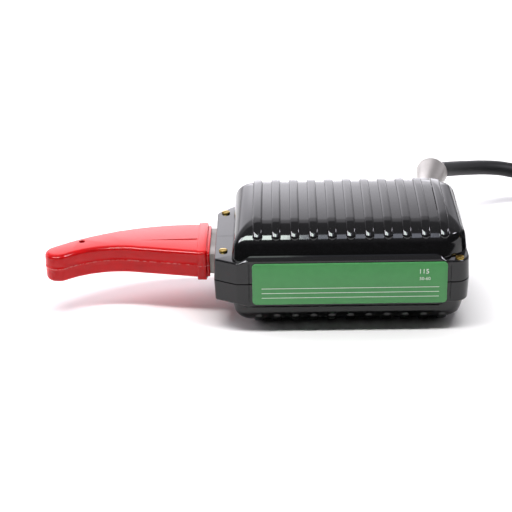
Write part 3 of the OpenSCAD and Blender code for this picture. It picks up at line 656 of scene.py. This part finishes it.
def dome_skin(c, high, crown):
    """Points and faces of a ribbed dome over the joint, in millimetres."""
    hx, hy, brow, foot = c.dome_length / MM / 2, c.dome_width / MM / 2, c.brow / MM, c.rim_height / MM
    pitch, last = c.rib_pitch / MM, (c.rib_count - 1) // 2
    hub_x = last * pitch - c.rib_width / MM / 2 - HUB_GAP
    cols = {-hub_x, hub_x}
    for i in range(-last, last + 1):
        cols |= {i * pitch + o for o in (0, *RIB_STEPS, *(-e for e in RIB_STEPS))}
        cols.add((i + 0.5) * pitch)
    cols = sorted(v for v in cols if -hub_x <= v <= hub_x)
    # angles of a fan's rays, closest together where they cross the last rib
    fan = np.radians(np.concatenate([
        np.linspace(0, 18, 46)[1:], np.linspace(18, 60, 29)[1:], np.linspace(63, 90, 10)]))
    end = np.linspace(-HUB_Y, HUB_Y, 7)[1:-1]

    def corner(x1, y1, r, t):
        """Point and inward direction where a ray at angle t from the hub meets a rounded corner."""
        run, rise = math.sin(t), math.cos(t)
        far = min((y1 - HUB_Y) / max(rise, 1e-9), (x1 - hub_x) / max(run, 1e-9))
        x, y = hub_x + far * run, HUB_Y + far * rise
        ax, ay = x1 - r, y1 - r
        if x <= ax:
            return (x, y), (0, -1)
        if y <= ay:
            return (x, y), (-1, 0)
        ox, oy = hub_x - ax, HUB_Y - ay
        half = ox * run + oy * rise
        far = -half + math.sqrt(half * half - (ox * ox + oy * oy - r * r))
        x, y = hub_x + far * run, HUB_Y + far * rise
        return (x, y), ((ax - x) / r, (ay - y) / r)

    def ring(z):
        """The dome's outline at height z, swollen by the ribs."""
        side, look = lean_in(z, foot, high, brow, c.side_in / MM)
        tip, _ = lean_in(z, foot, high, c.nose_brow / MM, c.nose_in / MM)
        tail, _ = lean_in(z, foot, high, brow, c.rear_in / MM)
        mid, y1 = c.dome_x / MM, hy - side
        ends = {1: hx + mid - tail, -1: hx - mid - tip}
        tail_r = max(c.corner / MM - REAR_EASE * tail, REAR_LEAST)
        bends = {(1, 1): tail_r, (1, -1): tail_r, (-1, -1): c.nose_corner / MM, (-1, 1): c.nose_back / MM}
        trace = []

        def quarter(sx, sy, angles):
            """One corner of the outline."""
            for t in angles:
                (x, y), (nx, ny) = corner(ends[sx], y1, bends[sx, sy], t)
                trace.append(((sx * x, sy * y), (sx * nx, sy * ny)))

        def side_row(sy, xs):
            """One long side of the outline."""
            for x in xs:
                sx = 1 if x > 0 else -1
                r = bends[sx, sy]
                over = max(sx * x - (ends[sx] - r), 0)
                rise = math.sqrt(r * r - over * over)
                trace.append(((x, sy * (y1 - r + rise)), (-sx * over / r, -sy * rise / r)))

        side_row(-1, cols)
        quarter(1, -1, fan)
        trace.extend(((ends[1], y), (-1, 0)) for y in end)
        quarter(1, 1, fan[::-1])
        side_row(1, cols[::-1])
        quarter(-1, 1, fan)
        trace.extend(((-ends[-1], y), (1, 0)) for y in end[::-1])
        quarter(-1, -1, fan[::-1])
        points, inward = (np.array(part) for part in zip(*trace))
        up = rib_swell(c, points[:, 0], np.full(len(points), brow * (look - RIB_START)))
        flat = points - inward * (up * math.cos(look))[:, None]
        return np.column_stack([flat, z + up * math.sin(look)])

    # heights of the rings: inside the rim, up the leaning wall, then round the brow
    levels = [DOME_FOOT, foot] + [foot + 1.2 * i for i in range(1, 6)]
    over_brow = high - brow + brow * np.sin(np.radians(np.linspace(12, 90, 50)))
    levels += [z for z in over_brow if z > levels[-1] + 0.3]
    rings = [ring(z) for z in levels]
    n, rows = len(rings[0]), len(rings)
    verts, faces = loft(rings, ends=False)
    faces.append(tuple(range(n))[::-1])

    # top between the brows, in columns that run from front to back
    last_ring = np.arange((rows - 1) * n, rows * n)
    row, around = len(cols), 2 * len(fan) + len(end)
    right = last_ring[row - 1:row + around + 1]
    left = np.append(last_ring[2 * row + around - 1:], last_ring[0])[::-1]
    deep = verts[right][:, 1]
    top, grid = [], []

    def column(xs, ys, first, final):
        """One column of points over the top, between two points of the last ring."""
        ids = len(verts) + len(top) + np.arange(len(xs))
        up = rib_swell(c, np.asarray(xs), np.full(len(xs), FAR_UP))
        top.extend(zip(xs, ys, high + up))
        grid.append(np.concatenate([[first], ids, [final]]))

    def infill(border, x, shares):
        """Columns between a hub and an end."""
        for t in shares:
            p = verts[border][1:-1]
            column((1 - t) * x + t * p[:, 0], p[:, 1], border[0], border[-1])

    shares = np.linspace(0, 1, 15)[1:-1]
    grid.append(left)
    infill(left, -hub_x, shares[::-1])
    for i, x in enumerate(cols):
        column(np.full(len(deep) - 2, x), deep[1:-1], last_ring[i], last_ring[2 * row + around - 1 - i])
    infill(right, hub_x, shares)
    grid.append(right)
    for a, b in zip(grid, grid[1:]):
        faces += strip(b, a)
    verts = np.vstack([verts, top])
    # crown, highest 9 mm behind the middle
    rise = smooth((verts[:, 2] - foot - 3) / 12)
    verts[:, 2] += crown * rise * (1.3 - 2 * ((verts[:, 1] - 9) / hy) ** 2)
    faces = [tuple(dict.fromkeys(f)) for f in faces]
    return verts, [f for f in faces if len(f) > 2]


# Corners of the rim in plan, each with its rounding
RIM = [(-69.1, -33.1, 2.0), (-57.3, -39.2, 3.0), (59.8, -39.2, 8.0), (59.8, 39.2, 8.0), (-54.6, 39.2, 2.5),
       (-69.1, 24.7, 2.0)]
# Along the case: the slopes at the ends of the raised panels, and the grooves beside the label
SLOPES = ((-57.0, -51.5), (44.0, 48.0))
GROOVES = (-51.25, 49.65)
PANEL_SIDE = 38  # the panels lie further than this from the middle, so on the long sides only


def rim_skin(c):
    """Points and faces of the rim with the raised panels and the grooves beside the label."""
    marks = list(np.linspace(-49, 43, 12))
    for a, b in SLOPES:
        marks += list(np.linspace(a, b, 12))
    for g in GROOVES:
        marks += [g + o for o in (-0.5, -0.35, -0.2, 0.2, 0.35, 0.5)]
    outline, inward = rounded(RIM, 10)
    trace = []
    for p, q, n in zip(outline, np.roll(outline, -1, axis=0), inward):
        trace.append((p, n))
        if np.linalg.norm(q - p) <= 6:
            continue
        if abs(p[1] - q[1]) < 1e-6:
            xs = sorted(x for x in marks if min(p[0], q[0]) < x < max(p[0], q[0]))
            trace.extend((np.array((x, p[1])), n) for x in (xs if p[0] < q[0] else xs[::-1]))
        else:
            trace.extend((p + (q - p) * t, n) for t in np.linspace(0, 1, 10)[1:-1])
    points, normals = (np.array(part) for part in zip(*trace))
    x = points[:, 0]
    flat = np.abs(normals[:, 1]) > 0.999
    (a0, a1), (b0, b1) = SLOPES
    rise = smooth((x - a0) / (a1 - a0)) * smooth((b1 - x) / (b1 - b0)) * (np.abs(points[:, 1]) > PANEL_SIDE)
    h = c.rim_height / MM + (c.panel_height - c.rim_height) / MM * rise
    edge = 0.9 + 0.7 * rise
    groove = np.zeros(len(points))
    for g in GROOVES:
        groove = np.maximum(groove, 0.5 * (1 - smooth((np.abs(x - g) - 0.18) / 0.2)) * flat)
    rings = []

    def ring(z, inset, dig):
        rings.append(np.column_stack([points + normals * (inset + groove * dig)[:, None], z]))

    one = np.ones(len(points))
    ring(0 * one, 0.4 * one, 1)
    ring(0.3 * one, 0.05 * one, 1)
    for t in (0.3, 0.6, 0.9, 0.995):
        ring(t * (h - edge), 0.05 + 0.45 * t * one, 1 if t < 0.9 else 0)
    # round edge on the rim, plain bevel on the panels
    for t in np.linspace(0, 1, 9):
        a = t * math.pi / 2
        up = math.sin(a) * (1 - rise) + t * rise
        back = (1 - math.cos(a)) * (1 - rise) + t * rise
        ring(h - edge + edge * up, 0.5 + edge * back, 0)
    # inner edge, hidden in the dome's wall
    hx, hy, r = c.dome_length / MM / 2 - 1, c.dome_width / MM / 2 - 1, c.corner / MM - 1
    core = np.clip(points, (-hx + r, -hy + r), (hx - r, hy - r))
    arm = points - core
    inner = core + arm / np.linalg.norm(arm, axis=1)[:, None] * r
    rings.append(np.column_stack([inner, h]))
    return loft(rings)


def prism(n, radius, centre, z0, z1, start=0.0):
    """A plain bar along Z."""
    verts, faces = lathe([(radius, z0), (radius, z1)], n, start=start)
    return verts + (*centre, 0), faces


def block(low, high):
    """A plain box."""
    (x0, y0, z0), (x1, y1, z1) = low, high
    return loft([[(x0, y0, z), (x1, y0, z), (x1, y1, z), (x0, y1, z)] for z in (z0, z1)])


# Places of the screws, each with the turn of its slot in radians
SCREWS = ((-64.3, 23.7, 0.5), (-64.3, -23.7, 0.2), (54.3, 35.2, 1.1), (54.3, -35.2, 0.35))


class DEMAG_OT_shells(bpy.types.Operator):
    """Moulds the two ribbed shells of the case"""
    bl_idname = "demag.shells"
    bl_label = "Shells"

    def execute(self, context):
        c = context.scene.demag_case
        z = c.parting / MM
        gloss = surface("polished phenolic", phenolic(c.plastic, 0.045))
        for name, up in (("upper_shell", 1), ("lower_shell", -1)):
            flip = np.array((1, 1, up))
            lift = np.array((0, 0, z))
            if up > 0:
                verts, faces = dome_skin(c, c.dome_height / MM, c.crown / MM)
            else:
                verts, faces = dome_skin(c, (c.dome_height - c.dome_less) / MM, 0.0)
            dome = new_object(name + "_dome", verts * flip + lift, faces, gloss, sharp=50)
            verts, faces = rim_skin(c)
            rim = new_object(name + "_rim", verts * flip + lift, faces, gloss, sharp=40)
            tools = []
            if up > 0:
                # witness line of the mould insert on the nose
                tools.append(block((-70, -5.6, z + 11.25), (-57, -5.35, z + 12)))
            else:
                # pockets of the nuts
                tools += [prism(6, 2.94, (x, y), z - 12, z - 8.8, math.pi / 6) for x, y, _ in SCREWS]
            cut(rim, [new_object("cutter", v, f, gloss) for v, f in tools])
            parts = [dome, rim]
            if up > 0:
                # boss under the cord guard
                boss = [(0.5, -12.9), (9.6, -12.9), (10, -12.5), (10, -0.9), (9.75, -0.25), (9.2, 0),
                        (0.5, 0)]
                verts, faces = lathe(boss, 72)
                parts.append(new_object("boss", place(verts, GUARD_FOOT, GUARD_AXIS), faces, gloss, sharp=40))
            shell = merge(parts)
            shell.name = name + "_skin"
            shell.data.set_sharp_from_angle(angle=math.radians(42))
            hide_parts(name)
        return {"FINISHED"}


PANEL_Y, LABEL_X = -39.2, -0.8
PLATE, COAT = 0.5, 0.04  # how far the label plate stands out, and the ink on it


class DEMAG_OT_label(bpy.types.Operator):
    """Fixes the plain label plate and its printed rules"""
    bl_idname = "demag.label"
    bl_label = "Label"

    def execute(self, context):
        c = context.scene.demag_case
        z, w, h = c.parting / MM, c.label_length / MM, c.label_height / MM
        face = PANEL_Y - PLATE
        paint = surface("stoved green paint", enamel(c.paint, 0.42))
        outline, inward = rounded_box(LABEL_X - w / 2, z - h / 2, LABEL_X + w / 2, z + h / 2, 2, 8)
        rings = []
        for y, inset in ((0.45, 0), (-0.3, 0), (-0.42, 0.05), (-PLATE, 0.2)):
            flat = outline + inward * inset
            rings.append([(p[0], PANEL_Y + y, p[1]) for p in flat])
        verts, faces = loft(rings)
        plate = new_object("label_skin", verts, faces, paint, sharp=30)
        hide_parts("label_plate")

        # three plain rules and two plain numbers
        ink = surface("screened white ink", enamel(c.ink, 0.5))
        verts, faces = [], []
        for k in range(3):
            low = z - 2.4 - 2.6 * k
            rule, sides = block((-45, face - COAT, low), (44, face, low + 0.25))
            faces += [tuple(i + len(verts) for i in f) for f in sides]
            verts += rule.tolist()
        new_object("label_rules", verts, faces, ink)
        for text, x, up, size in (("115", 33.5, 5.2, 3.6), ("50-60", 34.0, 1.6, 2.4)):
            letters = bpy.data.curves.new("label_number", "FONT")
            letters.body = text
            letters.size = size * MM
            letters.extrude = COAT / 2 * MM
            pattern = add("label_number", letters)
            mesh = bpy.data.meshes.new_from_object(pattern.evaluated_get(context.evaluated_depsgraph_get()))
            bpy.data.objects.remove(pattern)
            bpy.data.curves.remove(letters)
            mesh.transform(Matrix.Translation(Vector((x, face - COAT / 2, z + up)) * MM)
                           @ Matrix.Rotation(math.pi / 2, 4, "X"))
            mesh.materials.clear()
            mesh.materials.append(ink)
            number = add("label_number", mesh)
            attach(number, CASE)
        return {"FINISHED"}


class DEMAG_OT_screws(bpy.types.Operator):
    """Sets the slotted brass screws"""
    bl_idname = "demag.screws"
    bl_label = "Screws"

    def execute(self, context):
        c = context.scene.demag_case
        top = (c.parting + c.rim_height) / MM
        brass = turned_brass(c)
        profile = [(0.2, -22.6), (1.5, -22.6), (1.5, 0), (2.2, 0), (2.2, 0.55), (2.08, 0.78), (1.75, 0.92),
                   (1.2, 0.98), (0.2, 1.0)]
        screws = []
        for x, y, turn in SCREWS:
            verts, faces = lathe(profile, 32)
            screw = new_object("screw", verts + (x, y, top), faces, brass, sharp=40)
            slot, sides = block((-3, -0.38, 0.5), (3, 0.38, 2))
            cos, sin = math.cos(turn), math.sin(turn)
            spin = np.array([[cos, sin, 0], [-sin, cos, 0], [0, 0, 1]])
            cut(screw, [new_object("slot", slot @ spin + (x, y, top), sides, brass)])
            screws.append(screw)
        screws = merge(screws)
        screws.name = "case_screws_turned"
        screws.data.set_sharp_from_angle(angle=math.radians(35))
        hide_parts("case_screws")
        return {"FINISHED"}


# Probe

MOUTH_X = -73.5
# Back edge: straight to BACK_X, then round a wide curve up to an angle in degrees
BACK_X, BACK_Y, BACK_RADIUS, BACK_END = -82.0, 19.7, 111.9, 130.4
# Front edge: highest point and radius of its hollow, and its lean towards the mouth in degrees
HOLLOW_X, HOLLOW_Y, HOLLOW_RADIUS, HOLLOW_LEAN = -119.9, -8.4, 41.4, 11.3


def ray(angle):
    """Direction in plan at an angle in degrees."""
    return np.array([math.cos(math.radians(angle)), math.sin(math.radians(angle))])


def claw_plan():
    """Outline of the cap, against the clock from its mouth's back corner, and its inward directions."""
    back = np.array([BACK_X, BACK_Y - BACK_RADIUS])
    front = np.array([HOLLOW_X, HOLLOW_Y - HOLLOW_RADIUS])
    lean = math.radians(HOLLOW_LEAN)
    up = np.array([math.sin(lean), math.cos(lean)])
    # round tip, which touches both curves
    u = ray(BACK_END)
    total, gap = BACK_RADIUS + HOLLOW_RADIUS, np.linalg.norm(front - back)
    far = (total ** 2 - gap ** 2) / (2 * (total - u @ (front - back)))
    tip, r = back + u * far, BACK_RADIUS - far
    arm = (tip - front) / np.linalg.norm(tip - front)
    start = front + HOLLOW_RADIUS * up
    mouth = np.array([MOUTH_X, start[1] - (MOUTH_X - start[0]) * math.tan(lean)])
    trace = [(np.array([x, BACK_Y]), np.array([0, -1.0])) for x in np.linspace(MOUTH_X, BACK_X, 7)]

    def arc(centre, radius, a, b, steps, side):
        """Goes round a centre from angle a to b. Side is -1 where the centre lies inside the cap."""
        for angle in np.linspace(a, b, steps)[1:]:
            trace.append((centre + radius * ray(angle), side * ray(angle)))

    arc(back, BACK_RADIUS, 90, BACK_END, 50, -1)
    arc(tip, r, BACK_END, math.degrees(math.atan2(-arm[1], -arm[0])) % 360, 26, -1)
    arc(front, HOLLOW_RADIUS, math.degrees(math.atan2(arm[1], arm[0])), 90 - HOLLOW_LEAN, 30, 1)
    trace.extend((start + (mouth - start) * t, up) for t in np.linspace(0, 1, 16)[1:])
    points, inward = (np.array(part) for part in zip(*trace))
    return points, inward


class DEMAG_OT_cap(bpy.types.Operator):
    """Moulds the red claw-shaped cap of the probe"""
    bl_idname = "demag.cap"
    bl_label = "Probe cap"

    def execute(self, context):
        p = context.scene.demag_probe
        parting = context.scene.demag_case.parting
        z = parting / MM
        h, edge = p.half_height / MM, p.edge / MM
        red = surface("dipped red vinyl", vinyl(p.vinyl, linear("e19995"), parting))
        outline, inward = claw_plan()
        # height over the middle and set-in of each ring: raised seam, side, round edge
        half = [(0.12, -0.24), (0.35, -0.12), (2.5, -0.06)]
        for a in np.radians(np.linspace(0, 90, 9)):
            half.append((h - edge + edge * math.sin(a), edge * (1 - math.cos(a))))
        levels = [(-up, inset) for up, inset in half[::-1]] + half
        rings = [np.column_stack([outline + inward * inset, np.full(len(outline), z + up)])
                 for up, inset in levels]
        verts, faces = loft(rings)
        cap = new_object("claw", verts, faces, red, sharp=40, body=CAP)
        # collar and lip round the mouth
        parts = []
        for x0, x1, y0, y1, high in ((-78.2, -73.5, -17.6, 20.4, 8.25), (-73.7, -71.8, -16.5, 19.1, 6.95)):
            ring, inn = rounded_box(y0, -high, y1, high, 1.8, 6)
            rows = [(x0, 0.35), (x0 + 0.12, 0.1), (x0 + 0.35, 0),
                    (x1 - 0.35, 0), (x1 - 0.12, 0.1), (x1, 0.35)]
            verts, faces = loft([[(x, *(q + n * i)) for q, n in zip(ring, inn)] for x, i in rows])
            parts.append(new_object("collar", verts + (0, 0, z), faces, red, body=CAP))
        cut(cap, parts, "UNION")
        # hollow for the tongue, vent hole and moulded groove
        hollow, _ = rounded([(-112.4, -6.6, 6), (-134.3, -6.6, 1.5), (-134.3, 4.9, 1.5), (-112, 13.6, 30),
                             (-83, 17.9, 6), (-71, 18.0, 0.5), (-71, -15.2, 0.5)], 4)
        groove = [(-110, -0.7), (-78.7, -1.5), (-78.7, 0.4)]
        tools = [loft([[(*q, z + up) for q in hollow] for up in (-5.8, 5.8)]),
                 prism(28, 1.6, (-139, -1.5), z + h - 4, z + h + 1),
                 loft([[(*q, z + up) for q in groove] for up in (h - 0.35, h + 1)])]
        cut(cap, [new_object("cutter", v, f, red, body=None) for v, f in tools])
        cap.data.set_sharp_from_angle(angle=math.radians(38))
        cap.name = "probe_cap_skin"
        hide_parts("probe_cap")
        return {"FINISHED"}


class DEMAG_OT_core(bpy.types.Operator):
    """Finishes the steel core and the pieces inside the case"""
    bl_idname = "demag.core"
    bl_label = "Core and inside"

    def execute(self, context):
        p = context.scene.demag_probe
        c = context.scene.demag_case
        rubber = surface("black rubber", soft(linear("1d1d1e"), 0.7, 0.8))
        plated = surface("plated steel", metal(linear("b4b4b2"), 0.3, (0.5, 0.5, 3)))
        finishes = {
            "core_laminations": surface("sheared sheet steel", metal(p.steel, 0.42, (8, 8, 0.25), 0.2)),
            "core_rivets": plated,
            "case_nuts": turned_brass(c),
            "coil_bobbin": surface("pressed board", soft(linear("b89a6a"), 0.75, 1.5, 0.2)),
            "coil_winding": surface("enamelled copper wire", wound(linear("b5622f"), 0.5)),
            "winding_wrap": surface("varnished cloth tape", soft(linear("cdb26a"), 0.45, 0.6, 0.35)),
            "coil_pads": rubber, "guard_washer": rubber, "cord_grommet": rubber,
            "guard_nut": plated, "cord_crimp": plated,
            "cord_stub": cord_jacket(context.scene.demag_cord),
            "cord_wires": surface("wire insulation", soft(linear("4a3f38"), 0.5, 0.4)),
            "wire_splices": surface("nylon splice sleeve", enamel(linear("3c5f9c"), 0.4)),
            "coil_leads": surface("varnished lead sleeving", soft(linear("8e2b25"), 0.55, 0.4, 0.3)),
        }
        for name, material in finishes.items():
            dress(name, material)
        return {"FINISHED"}


class DEMAG_OT_guard(bpy.types.Operator):
    """Turns the bell-mouthed cord guard"""
    bl_idname = "demag.guard"
    bl_label = "Cord guard"

    def execute(self, context):
        s = context.scene.demag_cord
        satin = surface("turned aluminium", metal(s.guard, 0.38, (0.35, 0.35, 0.35), 0.16))

        def bell(f, r0, r1):
            """Radius of the flare at a share f of its length."""
            return r0 + (r1 - r0) * f * f * (1.6 - 0.6 * f)

        share = np.linspace(0, 1, 24)
        outer = [(bell(f, 6.0, 8.55), 4.7 + 22.9 * f) for f in share]
        inner = [(bell(f, 5.0, 7.95), 10 + 17.7 * f) for f in share][::-1]
        lip = [(8.68, 27.8), (8.55, 27.95), (8.25, 28.0), (8.05, 27.9)]
        profile = [(5.0, -18), (5.9, -18), (6.0, -17.8), (6.0, 1.0), (7.7, 1.0), (8.0, 1.3), (8.0, 4.2),
                   (7.7, 4.5), (6.2, 4.5)] + outer + lip + inner
        verts, faces = lathe(profile, 96, closed=True)
        guard = new_object(
            "cord_guard_turned", place(verts, GUARD_FOOT, GUARD_AXIS), faces, satin)
        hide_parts("cord_guard")
        return {"FINISHED"}


class DEMAG_PT_panel(bpy.types.Panel):
    """Lists the pieces and their settings"""
    bl_idname = "DEMAG_PT_panel"
    bl_label = "Demagnetizer"
    bl_space_type = "VIEW_3D"
    bl_region_type = "UI"
    bl_category = "Demagnetizer"

    def draw(self, context):
        for step in STEPS:
            self.layout.operator("demag." + step)
        for group in GROUPS:
            box = self.layout.box()
            settings = getattr(context.scene, group)
            for name in settings.__annotations__:
                box.prop(settings, name)


STEPS = ("stage", "cord", "shells", "label", "screws", "cap", "core", "guard")
GROUPS = {"demag_case": CaseSettings, "demag_probe": ProbeSettings, "demag_cord": CordSettings,
          "demag_stage": StageSettings}
CLASSES = (*GROUPS.values(), DEMAG_OT_stage, DEMAG_OT_cord, DEMAG_OT_shells, DEMAG_OT_label, DEMAG_OT_screws,
           DEMAG_OT_cap, DEMAG_OT_core, DEMAG_OT_guard, DEMAG_PT_panel)


def register():
    for kind in CLASSES:
        bpy.utils.register_class(kind)
    for name, kind in GROUPS.items():
        setattr(bpy.types.Scene, name, bpy.props.PointerProperty(type=kind))


def unregister():
    for name in GROUPS:
        delattr(bpy.types.Scene, name)
    for kind in reversed(CLASSES):
        bpy.utils.unregister_class(kind)


def main():
    register()
    for step in STEPS:
        getattr(bpy.ops.demag, step)()


if __name__ == "__main__":
    main()
